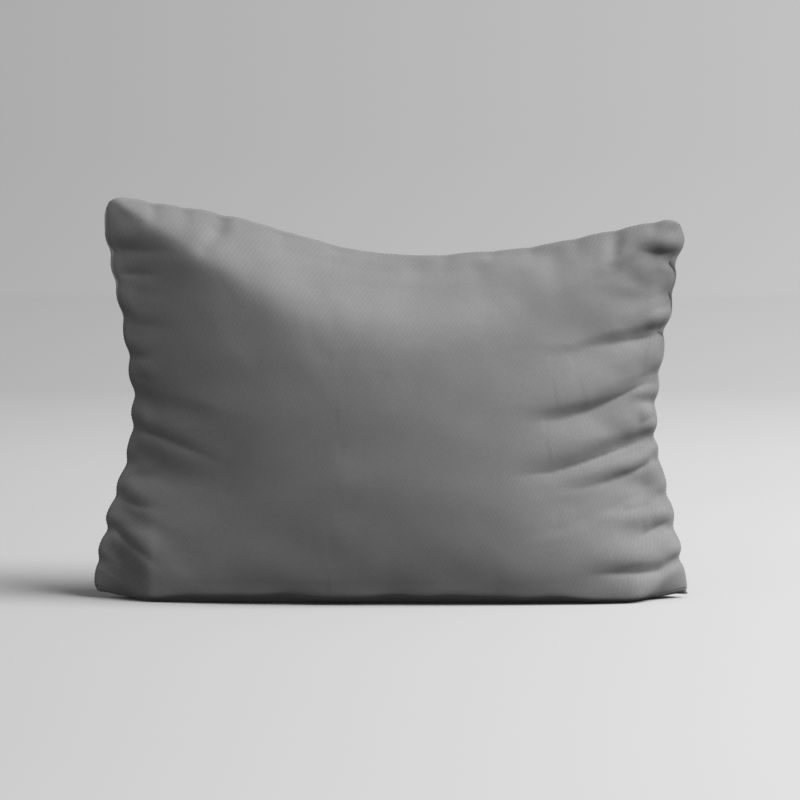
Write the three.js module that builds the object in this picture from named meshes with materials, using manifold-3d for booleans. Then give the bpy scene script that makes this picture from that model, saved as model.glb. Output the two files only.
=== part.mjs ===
// Bed pillow standing on its long edge: a zipped twill cover over a sewn pad full of fibre.
// Millimetres, +Z up, X along the long edge, front face towards -Y. The origin is on the
// floor under the middle of the pillow.
import * as THREE from "three";
import * as BufferGeometryUtils from "three/addons/utils/BufferGeometryUtils.js";
import Module from "manifold-3d";

const wasm = await Module();
wasm.setup();

// ---------------------------------------------------------------- driving dimensions
const BELLY_HALF = 95; // half of the pillow's thickness at its fullest
const REF_TOP = 383; // height of the top seam over the middle
const COVER_T = 1.0; // cover twill
const TICKING_T = 0.8; // pad ticking
const SEAM_GAP = 0.15; // half of the gap between two panels at a seam
const ALLOWANCE = 9; // seam allowance of the cover, turned in
const PAD_INSET = 15; // pad outline inside the cover outline
const PAD_ALLOWANCE = 6;
const FILL_INSET = 22;
const ZIP_HALF = 250; // half of the zip's working length
const LIP_Y = 5; // half of the slot between the cover's two lips
const LIP_Z = 8; // height of the lips over the floor
const TAPE_T = 0.6;
const TAPE_W = 14;
const TAPE_Z = 10.9; // underside of the zip tape
const COIL_GAP = 0.5; // half of the gap between the two coil rows
const COIL_W = 2.1;
const COIL_Z = 9.3; // underside of the coil rows
const COIL_TOP = 10.8;
const COIL_END = 243;
const SLIDER_X = 235; // slider with the zip closed
const PIVOT_Z = 6; // axis the pull tab swings on
const TAB_DROOP = 14; // degrees, the tab's tip resting on the floor

// outline of the seams in the plane y = 0, corner to corner
const LEFT = [[-326.7, 7.3], [-331.5, 16], [-330, 34], [-325, 58], [-315, 98], [-301, 140], [-292, 175], [-288.5, 220], [-292, 258], [-298, 300], [-306, 345], [-313, 380], [-317, 408], [-317.5, 428], [-312.7, 441.7]];
const RIGHT = [[331, 4.3], [331.8, 16], [327.5, 40], [322, 66], [315, 100], [305, 140], [298, 175], [297, 212], [301, 250], [307, 290], [314, 330], [319, 365], [325, 392], [325.5, 405], [321.3, 417.3]];
const TOP = [[-312.7, 441.7], [-303, 446.5], [-288, 446], [-250, 440], [-190, 430], [-140, 417], [-85, 401], [-30, 388], [35, 383], [90, 386.5], [143, 391], [190, 399], [237, 409], [285, 419], [305, 422.3], [315, 421], [321.3, 417.3]];

// cross-sections over the middle from the bottom seam to the top seam, as [half thickness, height]
const COVER_SECTION = [[LIP_Y, LIP_Z], [9, 6.9], [13, 3.4], [18, 0], [33, 0], [37, 1], [39.5, 3.4], [46, 5.8], [58, 6.4], [66, 7.4], [70.5, 9.7], [73, 13], [76.6, 23], [79.5, 33], [83.7, 54], [89.8, 88], [94, 121], [95, 150], [94.6, 205], [93.2, 245], [91, 266], [86.5, 284], [78, 301], [66, 316], [50, 332], [33, 349], [16, 366.5], [0, 383]];
const PAD_SECTION = [[0, 17.2], [9, 16.8], [16, 15.4], [20, 11], [23, 6], [26, 2.3], [32, 2.3], [36, 3.6], [39.5, 6.6], [46, 8.8], [57, 9.4], [64, 10.4], [68, 13], [70.3, 16.5], [74, 26], [77, 36], [81, 56], [87, 89], [91.3, 122], [92.3, 150], [91.9, 203], [90.5, 242], [88.3, 262.5], [83.8, 279.5], [75.4, 295.5], [63.5, 309.5], [48, 324.5], [31, 341.5], [14.5, 355.5], [0, 367]];
const FILL_SECTION = [[0, 27.5], [8, 25.5], [15.5, 21.5], [21, 15], [25, 8], [28, 4.6], [32, 4.6], [35.5, 6.2], [39, 9.2], [46, 11.4], [56.5, 12], [62.5, 13.2], [66, 16], [68.2, 19.5], [71.8, 28], [74.8, 37], [79, 57], [85, 90], [89.2, 122], [90.2, 150], [89.8, 202], [88.4, 240], [86, 260], [81.4, 276.5], [73, 291.5], [61.3, 305.5], [46, 320], [29, 336.5], [13, 350], [0, 358.5]];

// ---------------------------------------------------------------- curves and panels
const smooth = (a, b, x) => {
  const t = Math.min(1, Math.max(0, (x - a) / (b - a)));
  return t * t * (3 - 2 * t);
};
// a curve through points, read by its share of arc length
function through(points) {
  const curve = new THREE.CatmullRomCurve3(points.map(([a, b]) => new THREE.Vector3(a, b, 0)), false, "centripetal");
  curve.arcLengthDivisions = 400;
  return (t) => {
    const p = curve.getPointAt(Math.min(1, Math.max(0, t)));
    return [p.x, p.y];
  };
}
const leftOf = through(LEFT), rightOf = through(RIGHT), topOf = through(TOP);
const nearZip = (x) => 1 - smooth(ZIP_HALF + 12, ZIP_HALF + 52, Math.abs(x));
function bottomOf(u) {
  const a = LEFT[0], b = RIGHT[0];
  const x = a[0] + (b[0] - a[0]) * u;
  const end = Math.min(u, 1 - u);
  const z = 2.2 + (LIP_Z - 2.2) * nearZip(x) + 5 * (1 - smooth(0, 0.03, end)) * (u < 0.5 ? 1 : 0.42);
  return [x, z];
}
const FLAT = [0.032, 0.0633]; // share of the section that lies on the floor
const V_SEAM = 17 / 216; // where the front panel is sewn to the strip under the pillow
// the point of the flat seam plane at (u, v)
function plane(u, v, sewn = false) {
  // the strip's ends take only a little of the side seams
  const w = sewn ? (v < V_SEAM ? (v / V_SEAM) * 0.015 : 0.015 + ((v - V_SEAM) / (1 - V_SEAM)) * 0.985) : v;
  const l = leftOf(w), r = rightOf(w), t = topOf(u), b = bottomOf(u);
  const c = [bottomOf(0), bottomOf(1), topOf(0), topOf(1)];
  return [0, 1].map((k) =>
    (1 - v) * b[k] + v * t[k] + (1 - u) * l[k] + u * r[k] -
    ((1 - u) * (1 - v) * c[0][k] + u * (1 - v) * c[1][k] + (1 - u) * v * c[2][k] + u * v * c[3][k]));
}
const soft = (u) => Math.pow(Math.max(0, 1 - Math.pow(Math.abs(2 * u - 1), 2.2)), 0.8);
// share of the middle section's thickness at (u, v): full low down, drawn out towards the top corners
function swell(u, v) {
  const e = Math.abs(2 * u - 1), g = Math.max(0, 1 - Math.pow(e, 2.2)), edge = Math.sqrt(Math.max(0, 1 - Math.pow(e, 24)));
  const mid = 0.2 * edge + 0.8 * Math.pow(g, 0.85), low = 0.5 * edge + 0.5 * g;
  const top = 0.12 * edge + 0.88 * Math.pow(Math.max(0, 1 - Math.pow(e, 1.5)), 1.2);
  const a = 1 - smooth(0.12, 0.44, v), b = smooth(0.5, 0.85, v);
  return mid * (1 - a) * (1 - b) + low * a + top * b;
}
// the panel's surface at (u, v): [x, half thickness, z]
function dome(sectionOf, u, v, bottomZ, sewn) {
  const [x, zp] = plane(u, v, sewn);
  const [ys, zs] = sectionOf(v);
  const f = swell(u, v), g = soft(u);
  const held = Math.min(22, ys) * (1 - smooth(0.16, 0.42, v)) * nearZip(x);
  // above the belly the slope of the top and the slope of the side meet in a soft ridge
  const a = Math.max(1e-3, ys / BELLY_HALF), b = Math.max(1e-3, f);
  const roof = BELLY_HALF * Math.pow(Math.pow(a, -4) + Math.pow(b, -4) - 1, -0.25) * Math.min(1, ys) * Math.min(1, 50 * f);
  const up = smooth(0.44, 0.54, v);
  const y = (held + (ys - held) * f) * (1 - up) + roof * up;
  const top = topOf(u)[1] / REF_TOP;
  const zMid = v > 0.3 ? zs * (1 + (top - 1) * smooth(0.3, 1, v)) : zs;
  const m = Math.pow(g, 0.55) + (smooth(0, 0.5, g) - Math.pow(g, 0.55)) * (1 - smooth(0.14, 0.42, v));
  let z = zp * (1 - m) + zMid * m;
  const lowest = bottomZ * smooth(0, 0.6, g);
  if (v >= 0.03) z = Math.max(z, lowest);
  if (bottomZ === 0 && g >= 0.5 && v > FLAT[0] - 0.001 && v < FLAT[1] + 0.001) z = 0; // the base it stands on
  return [x, y, z];
}
const domes = new Map();
function domeOf(section, inset, bottomZ) {
  const key = section;
  if (!domes.has(key)) domes.set(key, through(section));
  const sectionOf = domes.get(key);
  const eu = inset / 660, ev = inset / 470, low = section === COVER_SECTION ? 0 : 1;
  return (u, v) => {
    const U = eu + u * (1 - 2 * eu), V = v; // the section itself holds the inset along v
    const p = dome(sectionOf, U, V, bottomZ, !low);
    if (low) {
      // the inner outline stays inside the outer one at the top and the bottom corners
      const q = plane(U, ev + V * (1 - 2 * ev));
      const share = Math.pow(soft(U), 0.55);
      p[2] = q[1] * (1 - share) + p[2] * share;
      p[0] = q[0] * (1 - share) + p[0] * share;
      const f = (swell(U, V) - swell(eu, V)) / (1 - swell(eu, V));
      p[1] *= Math.max(0, f) / Math.max(1e-6, swell(U, V));
      p[2] += 3.5 * (1 - smooth(0.02, 0.2, Math.min(U, 1 - U))) * (1 - smooth(0, 0.15, V));
    }
    return p;
  };
}

// grid lines, closer together where the surface turns
const us = (n) => Array.from({ length: n + 1 }, (_, i) => {
  const t = i / n;
  return t - 0.075 * Math.sin(2 * Math.PI * t);
});
const STRIP_VS = [0, 0.017, FLAT[0], FLAT[1], V_SEAM];
const PANEL_VS = [V_SEAM, 0.0935, 0.118, 0.135, 0.146, 0.156, 0.177, 0.199, 0.243, 0.315, 0.385, 0.445, 0.505, 0.56, 0.603, 0.643, 0.687, 0.726, 0.765, 0.805, 0.852, 0.902, 0.953, 1];
const PAD_VS = [0, 0.025, 0.05, 0.07, 0.1, 0.125, 0.15, 0.17, 0.195, 0.235, 0.3, 0.38, 0.46, 0.54, 0.61, 0.67, 0.72, 0.77, 0.82, 0.88, 0.94, 1];

// a closed mesh from rings and grids
class Skin {
  constructor() { this.p = []; this.t = []; }
  add(x, y, z) { this.p.push(x, y, z); return this.p.length / 3 - 1; }
  quad(a, b, c, d, flip) {
    const P = (i) => new THREE.Vector3(this.p[3 * i], this.p[3 * i + 1], this.p[3 * i + 2]);
    // split along the shorter diagonal
    const tri = P(a).distanceTo(P(c)) <= P(b).distanceTo(P(d)) ? [[a, b, c], [a, c, d]] : [[a, b, d], [b, c, d]];
    for (const [i, j, k] of tri) flip ? this.t.push(i, k, j) : this.t.push(i, j, k);
  }
  geometry() {
    const g = new THREE.BufferGeometry();
    g.setAttribute("position", new THREE.BufferAttribute(new Float32Array(this.p), 3));
    g.setIndex(this.t);
    return g;
  }
}
// boundary of an nu by nv grid, anticlockwise seen from the front
function border(nu, nv) {
  const b = [];
  for (let i = 0; i < nu; i++) b.push([i, 0]);
  for (let j = 0; j < nv; j++) b.push([nu, j]);
  for (let i = nu; i > 0; i--) b.push([i, nv]);
  for (let j = nv; j > 0; j--) b.push([0, j]);
  return b;
}

// One sewn panel: the outer face, the seam allowance turned in all round, and the inner face.
// side -1 is the front and +1 the back.
function panel({ of, nu, V, side, t, allowance, zip, bottomZ }) {
  const U = us(nu), nv = V.length - 1, s = new Skin(), flip = side > 0;
  const outer = [], inner = [];
  const at = (i, j) => of(U[i], V[j]);
  const normal = (i, j) => {
    const h = 2e-3, u = Math.min(1 - h, Math.max(h, U[i])), v = Math.min(1 - h, Math.max(h, V[j]));
    const a = of(u - h, v), b = of(u + h, v), c = of(u, v - h), d = of(u, v + h);
    const du = new THREE.Vector3(b[0] - a[0], side * (b[1] - a[1]), b[2] - a[2]);
    const dv = new THREE.Vector3(d[0] - c[0], side * (d[1] - c[1]), d[2] - c[2]);
    return du.cross(dv).normalize().multiplyScalar(side < 0 ? 1 : -1);
  };
  for (let i = 0; i <= nu; i++) {
    outer[i] = [];
    for (let j = 0; j <= nv; j++) {
      const [x, y, z] = at(i, j);
      outer[i][j] = s.add(x, side * (SEAM_GAP + y), z);
    }
  }
  for (let i = 0; i < nu; i++) for (let j = 0; j < nv; j++)
    s.quad(outer[i][j], outer[i + 1][j], outer[i + 1][j + 1], outer[i][j + 1], flip);
  // the inner face covers the grid without its outermost lines
  for (let i = 1; i < nu; i++) {
    inner[i] = [];
    for (let j = 1; j < nv; j++) {
      const [x, y, z] = at(i, j), n = normal(i, j);
      const q = new THREE.Vector3(x, side * (SEAM_GAP + y), z).addScaledVector(n, -t);
      if (z < 0.5 + (bottomZ || 0)) q.z = z + t;
      if (side * q.y < SEAM_GAP + 2 * t + 0.4) q.y = side * (SEAM_GAP + 2 * t + 0.4);
      inner[i][j] = s.add(q.x, q.y, q.z);
    }
  }
  for (let i = 1; i < nu - 1; i++) for (let j = 1; j < nv - 1; j++)
    s.quad(inner[i][j], inner[i][j + 1], inner[i + 1][j + 1], inner[i + 1][j], flip);
  // rings: rim, tip of the allowance, its inner side, and its root
  const ring = border(nu, nv), rings = [];
  rings.push(ring.map(([i, j]) => outer[i][j]));
  const place = (i, j, width, lift) => {
    const rim = [s.p[3 * outer[i][j]], s.p[3 * outer[i][j] + 2]];
    const [x0, y0, z0] = at(i, j);
    // towards the middle in the seam plane
    const du = width / 660, dv = width / 470;
    const a = of(Math.min(1 - du, Math.max(du, U[i])), V[j]), b = of(U[i], Math.min(1 - dv, Math.max(dv, V[j])));
    let dx = (i === 0 ? 1 : i === nu ? -1 : 0), dz = (j === 0 ? 1 : j === nv ? -1 : 0);
    const len = Math.hypot(dx, dz) || 1;
    const corner = dx && dz ? 1.35 : 1;
    const xi = rim[0] + (dx / len) * width * corner, zi = rim[1] + (dz / len) * width * corner;
    const k = zip && j === 0 ? nearZip(x0) : 0; // along the zip the allowance lies under the tape
    const plain = [xi, side * (SEAM_GAP + lift), zi];
    const laid = [rim[0], side * (SEAM_GAP + LIP_Y + width), rim[1] + 2.3 - lift];
    return s.add(...plain.map((c, m) => c * (1 - k) + laid[m] * k));
  };
  rings.push(ring.map(([i, j]) => place(i, j, allowance, 0)));
  rings.push(ring.map(([i, j]) => place(i, j, allowance, t)));
  rings.push(ring.map(([i, j]) => place(i, j, Math.min(2.2, allowance / 3), t)));
  for (let r = 0; r < 3; r++) for (let k = 0; k < ring.length; k++) {
    const n = (k + 1) % ring.length;
    s.quad(rings[r][n], rings[r][k], rings[r + 1][k], rings[r + 1][n], flip);
  }
  // the root ring joins the inner face's own border
  const last = rings[3];
  const pick = ([i, j]) => inner[Math.min(nu - 1, Math.max(1, i))][Math.min(nv - 1, Math.max(1, j))];
  for (let k = 0; k < ring.length; k++) {
    const n = (k + 1) % ring.length, a = last[k], b = last[n], c = pick(ring[n]), d = pick(ring[k]);
    if (c === d) { flip ? s.t.push(b, d, a) : s.t.push(b, a, d); } else s.quad(b, a, d, c, flip);
  }
  return s.geometry();
}

// a closed body with one face each side of the seam plane
function stuffed({ of, nu, V }) {
  const U = us(nu), nv = V.length - 1, s = new Skin(), face = { "-1": [], "1": [] };
  for (const side of [-1, 1]) for (let i = 0; i <= nu; i++) {
    face[side][i] = [];
    for (let j = 0; j <= nv; j++) {
      const edge = i === 0 || j === 0 || i === nu || j === nv;
      if (edge && side === 1) { face[1][i][j] = face[-1][i][j]; continue; }
      const [x, y, z] = of(U[i], V[j]);
      face[side][i][j] = s.add(x, edge ? 0 : side * y, z);
    }
  }
  for (const side of [-1, 1]) for (let i = 0; i < nu; i++) for (let j = 0; j < nv; j++)
    s.quad(face[side][i][j], face[side][i + 1][j], face[side][i + 1][j + 1], face[side][i][j + 1], side > 0);
  return s.geometry();
}

// ---------------------------------------------------------------- solids helpers
function toSolid(geometry) {
  const g = geometry.clone();
  g.deleteAttribute("normal");
  g.deleteAttribute("uv");
  const m = BufferGeometryUtils.mergeVertices(g, 1e-4);
  return new wasm.Manifold(new wasm.Mesh({ numProp: 3, vertProperties: m.attributes.position.array, triVerts: new Uint32Array(m.index.array) }));
}
function fromSolid(solid) {
  const m = solid.getMesh(), n = m.numProp, p = new Float32Array(m.numVert * 3);
  for (let i = 0; i < m.numVert; i++) p.set(m.vertProperties.subarray(i * n, i * n + 3), i * 3);
  const g = new THREE.BufferGeometry();
  g.setAttribute("position", new THREE.BufferAttribute(p, 3));
  g.setIndex(Array.from(m.triVerts));
  return g;
}
const block = (x0, x1, y0, y1, z0, z1) =>
  new THREE.BoxGeometry(x1 - x0, y1 - y0, z1 - z0).translate((x0 + x1) / 2, (y0 + y1) / 2, (z0 + z1) / 2);
function plate(shape, thickness) {
  return new THREE.ExtrudeGeometry(shape, { depth: thickness, bevelEnabled: false, curveSegments: 8 });
}
function rounded(w, l, r) {
  const s = new THREE.Shape(), a = w / 2, b = l / 2;
  s.moveTo(-a + r, -b); s.lineTo(a - r, -b); s.absarc(a - r, -b + r, r, -Math.PI / 2, 0, false);
  s.lineTo(a, b - r); s.absarc(a - r, b - r, r, 0, Math.PI / 2, false);
  s.lineTo(-a + r, b); s.absarc(-a + r, b - r, r, Math.PI / 2, Math.PI, false);
  s.lineTo(-a, -b + r); s.absarc(-a + r, -b + r, r, Math.PI, 1.5 * Math.PI, false);
  return s;
}
// a strip of a given section swept along points in the seam plane; section is [[across, y], ...], across pointing inwards
function binding(path, section) {
  const s = new Skin(), n = section.length, rows = [];
  path.forEach(([x, z], k) => {
    const a = path[Math.max(0, k - 1)], b = path[Math.min(path.length - 1, k + 1)];
    const d = new THREE.Vector2(b[0] - a[0], b[1] - a[1]).normalize();
    const inward = [d.y, -d.x]; // the path runs clockwise round the pillow seen from the front
    rows.push(section.map(([o, y]) => s.add(x + inward[0] * o, y, z + inward[1] * o)));
  });
  for (let k = 0; k < path.length - 1; k++) for (let m = 0; m < n; m++) {
    const q = (m + 1) % n;
    s.quad(rows[k][m], rows[k][q], rows[k + 1][q], rows[k + 1][m], false);
  }
  const cap = (r, rev) => {
    const tri = THREE.ShapeUtils.triangulateShape(section.map(([a, b]) => new THREE.Vector2(a, b)), []);
    for (const [a, b, c] of tri) rev ? s.t.push(r[a], r[c], r[b]) : s.t.push(r[a], r[b], r[c]);
  };
  cap(rows[0], true);
  cap(rows[rows.length - 1], false);
  return s.geometry();
}

// ---------------------------------------------------------------- materials
const mat = (color, roughness, metalness = 0) => new THREE.MeshStandardMaterial({ color, roughness, metalness, side: THREE.DoubleSide });
const twill = mat(0x777777, 0.85);
const ticking = mat(0xe9e6df, 0.8);
const fibre = mat(0xf4f3ef, 0.95);
const thread = mat(0x6b6b6b, 0.6);
const padThread = mat(0xe4e1d8, 0.6);
const tape = mat(0x6a6a6a, 0.7);
const coil = mat(0x585858, 0.4);
const metal = mat(0x8d8f92, 0.3, 1);

const pillow = new THREE.Group();
const put = (name, geometry, material, parent = pillow) => {
  const m = new THREE.Mesh(geometry, material);
  m.name = name;
  parent.add(m);
  return m;
};

// ---------------------------------------------------------------- cover
const coverOf = domeOf(COVER_SECTION, 0, 0);
const cover = new THREE.Group();
pillow.add(cover);
put("cover_front_panel", panel({ of: coverOf, nu: 26, V: [...STRIP_VS, ...PANEL_VS.slice(1)], side: -1, t: COVER_T, allowance: ALLOWANCE, zip: true, bottomZ: 0 }), twill, cover);
put("cover_back_panel", panel({ of: coverOf, nu: 26, V: [...STRIP_VS, ...PANEL_VS.slice(1)], side: 1, t: COVER_T, allowance: ALLOWANCE, zip: true, bottomZ: 0 }), twill, cover);

// ---------------------------------------------------------------- overlock threads round the raw edges
function edge(which, from, to, n) {
  const path = [];
  for (let k = 0; k <= n; k++) {
    const t = from + (to - from) * (k / n);
    path.push(which(t));
  }
  return path;
}
function overlock(o0, o1, t, w) {
  const a = SEAM_GAP + t + 0.3, b = a + w;
  return [[o0, -b], [o1, -b], [o1, b], [o0, b], [o0, a], [o1 - w, a], [o1 - w, -a], [o0, -a]];
}
const coverLock = overlock(6.8, 11.3, COVER_T, 0.5);
put("cover_overlock_left", binding(edge(leftOf, 0.12, 0.8, 14), coverLock), thread, cover);
put("cover_overlock_top", binding(edge(topOf, 0.07, 0.93, 16), coverLock), thread, cover);
put("cover_overlock_right", binding(edge(rightOf, 0.8, 0.12, 14), coverLock), thread, cover);

// ---------------------------------------------------------------- zip
const zip = new THREE.Group();
pillow.add(zip);
for (const [name, side] of [["front", -1], ["back", 1]]) {
  const span = (a, b) => (side < 0 ? [-b, -a] : [a, b]);
  const [t0, t1] = span(0.6, TAPE_W);
  put("zip_tape_" + name, block(-ZIP_HALF, ZIP_HALF, t0, t1, TAPE_Z, TAPE_Z + TAPE_T), tape, zip);
  // the coil: a spine under the tape with teeth reaching for the other row
  const pitch = 5, shape = new THREE.Shape(), yIn = COIL_GAP, yRoot = COIL_GAP + 1.1, yOut = COIL_GAP + COIL_W;
  const n = Math.floor((2 * COIL_END) / pitch);
  shape.moveTo(-COIL_END, yOut);
  shape.lineTo(-COIL_END, yRoot);
  for (let k = 0; k < n; k++) {
    const x = -COIL_END + k * pitch + (side > 0 ? 2.5 : 0);
    if (x + 2.6 > COIL_END) break;
    shape.lineTo(x + 0.6, yRoot); shape.lineTo(x + 0.9, yIn); shape.lineTo(x + 2.3, yIn); shape.lineTo(x + 2.6, yRoot);
  }
  shape.lineTo(COIL_END, yRoot);
  shape.lineTo(COIL_END, yOut);
  const g = plate(shape, COIL_TOP - COIL_Z);
  if (side < 0) g.rotateX(Math.PI).translate(0, 0, COIL_TOP);
  else g.translate(0, 0, COIL_Z);
  put("zip_coil_" + name, g, coil, zip);
  const [s0, s1] = span(9.2, 9.9);
  put("zip_stitch_" + name, block(-ZIP_HALF + 2, ZIP_HALF - 2, s0, s1, TAPE_Z + TAPE_T + 0.08, TAPE_Z + TAPE_T + 0.4), thread, zip);
  const [c0, c1] = span(0.75, 3);
  put("zip_top_stop_" + name, block(COIL_END + 0.5, COIL_END + 3.5, c0, c1, COIL_Z, COIL_TOP), metal, zip);
}
put("zip_bottom_stop", block(-COIL_END - 4, -COIL_END - 0.5, -3.2, 3.2, COIL_Z - 0.2, COIL_TOP), metal, zip);

// slider: two plates joined by a web, with flanges round the coils and two lugs for the tab
{
  const plan = rounded(11, 8.8, 2.2);
  const body = toSolid(plate(plan, 13 - 7.6).translate(SLIDER_X, 0, 7.6));
  const cut = (x0, x1, y0, y1, z0, z1) => toSolid(block(SLIDER_X + x0, SLIDER_X + x1, y0, y1, z0, z1));
  let s = body;
  for (const q of [-1, 1]) {
    const y = (a, b) => (q < 0 ? [-b, -a] : [a, b]);
    s = s.subtract(cut(-8, 8, ...y(0.26, 3.0), 9.0, 11.8));
    s = s.subtract(cut(-8, 8, ...y(0.26, 6), 10.55, 11.8));
  }
  for (const q of [-1, 1]) {
    const lug = plate(rounded(3.6, 3.6, 1.7), 0.9).rotateX(Math.PI / 2).translate(SLIDER_X, q > 0 ? 2.6 : -1.7, PIVOT_Z);
    const root = block(SLIDER_X - 1.8, SLIDER_X + 1.8, q > 0 ? 1.7 : -2.6, q > 0 ? 2.6 : -1.7, PIVOT_Z, 7.8);
    const bore = new THREE.CylinderGeometry(1.0, 1.0, 3, 20).translate(SLIDER_X, q * 2.15, PIVOT_Z);
    s = s.add(toSolid(lug).add(toSolid(root)).subtract(toSolid(bore)));
  }
  put("zip_slider", fromSolid(s), metal, zip);
}
// pull tab on its own pin, drooping until the tip rests on the floor
{
  const blade = new THREE.Shape();
  const outline = [[0, -1.3], [3.6, -1.3], [5.6, -3], [17, -3.3], [19.4, -2.2], [20, 0], [19.4, 2.2], [17, 3.3], [5.6, 3], [3.6, 1.3], [0, 1.3]];
  outline.forEach(([x, y], k) => (k ? blade.lineTo(x, y) : blade.moveTo(x, y)));
  const eye = new THREE.Path();
  eye.absellipse(14.5, 0, 2.4, 1.7, 0, 2 * Math.PI, true);
  blade.holes.push(eye);
  const pin = new THREE.CylinderGeometry(0.7, 0.7, 5, 20);
  const g = fromSolid(toSolid(plate(blade, 0.9).translate(0, 0, -0.45)).add(toSolid(pin)));
  g.rotateY(THREE.MathUtils.degToRad(TAB_DROOP)).translate(SLIDER_X, 0, PIVOT_Z);
  put("zip_pull_tab", g, metal, zip);
}

// ---------------------------------------------------------------- pad
const padOf = domeOf(PAD_SECTION, PAD_INSET, 2.2);
const fillOf = domeOf(FILL_SECTION, FILL_INSET, 4.4);
const pad = new THREE.Group();
pillow.add(pad);
put("pad_ticking_front", panel({ of: padOf, nu: 22, V: PAD_VS, side: -1, t: TICKING_T, allowance: PAD_ALLOWANCE, bottomZ: 2.2 }), ticking, pad);
put("pad_ticking_back", panel({ of: padOf, nu: 22, V: PAD_VS, side: 1, t: TICKING_T, allowance: PAD_ALLOWANCE, bottomZ: 2.2 }), ticking, pad);
put("pad_fibre_fill", stuffed({ of: fillOf, nu: 22, V: PAD_VS }), fibre, pad);

export default pillow;
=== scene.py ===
# Bed pillow: twill cover inflated by cloth simulation over a ticking pad, on a pale studio floor.
import bpy, math
import numpy as np
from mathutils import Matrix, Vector


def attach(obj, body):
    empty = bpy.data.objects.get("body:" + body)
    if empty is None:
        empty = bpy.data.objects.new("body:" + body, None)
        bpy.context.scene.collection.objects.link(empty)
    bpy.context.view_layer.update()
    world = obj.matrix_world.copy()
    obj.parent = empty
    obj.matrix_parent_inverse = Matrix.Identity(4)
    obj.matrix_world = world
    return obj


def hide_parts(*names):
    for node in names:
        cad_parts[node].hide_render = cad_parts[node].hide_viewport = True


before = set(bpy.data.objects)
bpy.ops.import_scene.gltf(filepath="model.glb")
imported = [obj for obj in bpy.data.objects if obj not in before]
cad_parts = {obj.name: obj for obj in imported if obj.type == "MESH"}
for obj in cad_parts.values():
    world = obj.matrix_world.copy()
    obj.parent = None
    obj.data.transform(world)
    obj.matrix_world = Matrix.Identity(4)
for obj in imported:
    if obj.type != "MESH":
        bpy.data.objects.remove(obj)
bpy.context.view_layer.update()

BODY = "pillow"
scene = bpy.context.scene
MM = 0.001

# ------------------------------------------------------------------ seam outline, millimetres in the plane y = 0
LEFT = [[-326.7, 7.3], [-331.5, 16], [-330, 34], [-325, 58], [-315, 98], [-301, 140], [-292, 175], [-288.5, 220], [-292, 258], [-298, 300], [-306, 345], [-313, 380], [-317, 408], [-317.5, 428], [-312.7, 441.7]]
RIGHT = [[331, 4.3], [331.8, 16], [327.5, 40], [322, 66], [315, 100], [305, 140], [298, 175], [297, 212], [301, 250], [307, 290], [314, 330], [319, 365], [325, 392], [325.5, 405], [321.3, 417.3]]
TOP = [[-312.7, 441.7], [-303, 446.5], [-288, 446], [-250, 440], [-190, 430], [-140, 417], [-85, 401], [-30, 388], [35, 383], [90, 386.5], [143, 391], [190, 399], [237, 409], [285, 419], [305, 422.3], [315, 421], [321.3, 417.3]]
FLAT_W, FLAT_H = 700.0, 500.0  # the cover laid flat
NX, NZ = 100, 72  # cells of the simulated cloth along and up
UP = 3  # each cell is divided this many times afterwards
HALF = 93.0  # half thickness at the belly
SLOT_Y, SLOT_Z, SLOT_X = 5.15, 8.0, 262.0  # the cover's lips along the zip


def spline(points, t):
    P = np.array(points, float)
    Q = np.vstack([2 * P[0] - P[1], P, 2 * P[-1] - P[-2]])
    out = []
    for k in range(1, len(Q) - 2):
        p0, p1, p2, p3 = Q[k - 1:k + 3]
        for s in np.linspace(0, 1, 24, endpoint=False):
            out.append(.5 * (2 * p1 + (p2 - p0) * s + (2 * p0 - 5 * p1 + 4 * p2 - p3) * s * s + (3 * p1 - p0 - 3 * p2 + p3) * s ** 3))
    out.append(Q[-2])
    out = np.array(out)
    L = np.r_[0, np.cumsum(np.hypot(*np.diff(out, axis=0).T))]
    return np.c_[np.interp(t * L[-1], L, out[:, 0]), np.interp(t * L[-1], L, out[:, 1])]


def smooth(a, b, x):
    t = np.clip((x - a) / (b - a), 0, 1)
    return t * t * (3 - 2 * t)


def grid(nx, nz):
    return np.meshgrid(np.linspace(0, 1, nx + 1), np.linspace(0, 1, nz + 1), indexing="ij")


def bottom_curve(u):
    return np.c_[np.interp(u, [0, 1], [-326.7, 331]), np.interp(u, [0, .04, .12, .88, .96, 1], [7.3, 3.4, 8, 8, 3.2, 4.3])]


V0 = 17 / 216  # where the bottom seam crosses the section: the under strip lies between it and the zip
SECTION = [[5, 8], [9, 6.9], [13, 3.4], [18, 0], [33, 0], [37, 1], [39.5, 3.4], [46, 5.8], [58, 6.4], [66, 7.4], [70.5, 9.7], [73, 13], [76.6, 23], [79.5, 33], [83.7, 54], [89.8, 88], [94, 121], [95, 150], [94.6, 205], [93.2, 245], [91, 266], [86.5, 284], [78, 301], [66, 316], [50, 332], [33, 349], [16, 366.5], [0, 383]]


def seam_plane(nx, nz, warp=True):
    u, v = np.linspace(0, 1, nx + 1), np.linspace(0, 1, nz + 1)
    t = np.where(v < V0, v / V0 * .015, .015 + (v - V0) / (1 - V0) * .985) if warp else v
    L, R, T, B = spline(LEFT, t), spline(RIGHT, t), spline(TOP, u), bottom_curve(u)
    U, V = grid(nx, nz)
    P = np.zeros((nx + 1, nz + 1, 2))
    for k in range(2):
        P[..., k] = (1 - V) * B[:, None, k] + V * T[:, None, k] + (1 - U) * L[None, :, k] + U * R[None, :, k] - (
            (1 - U) * (1 - V) * B[0, k] + U * (1 - V) * B[-1, k] + (1 - U) * V * T[0, k] + U * V * T[-1, k])
    return P


def near_zip(x):
    return 1 - smooth(SLOT_X, SLOT_X + 40, np.abs(x))


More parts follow.
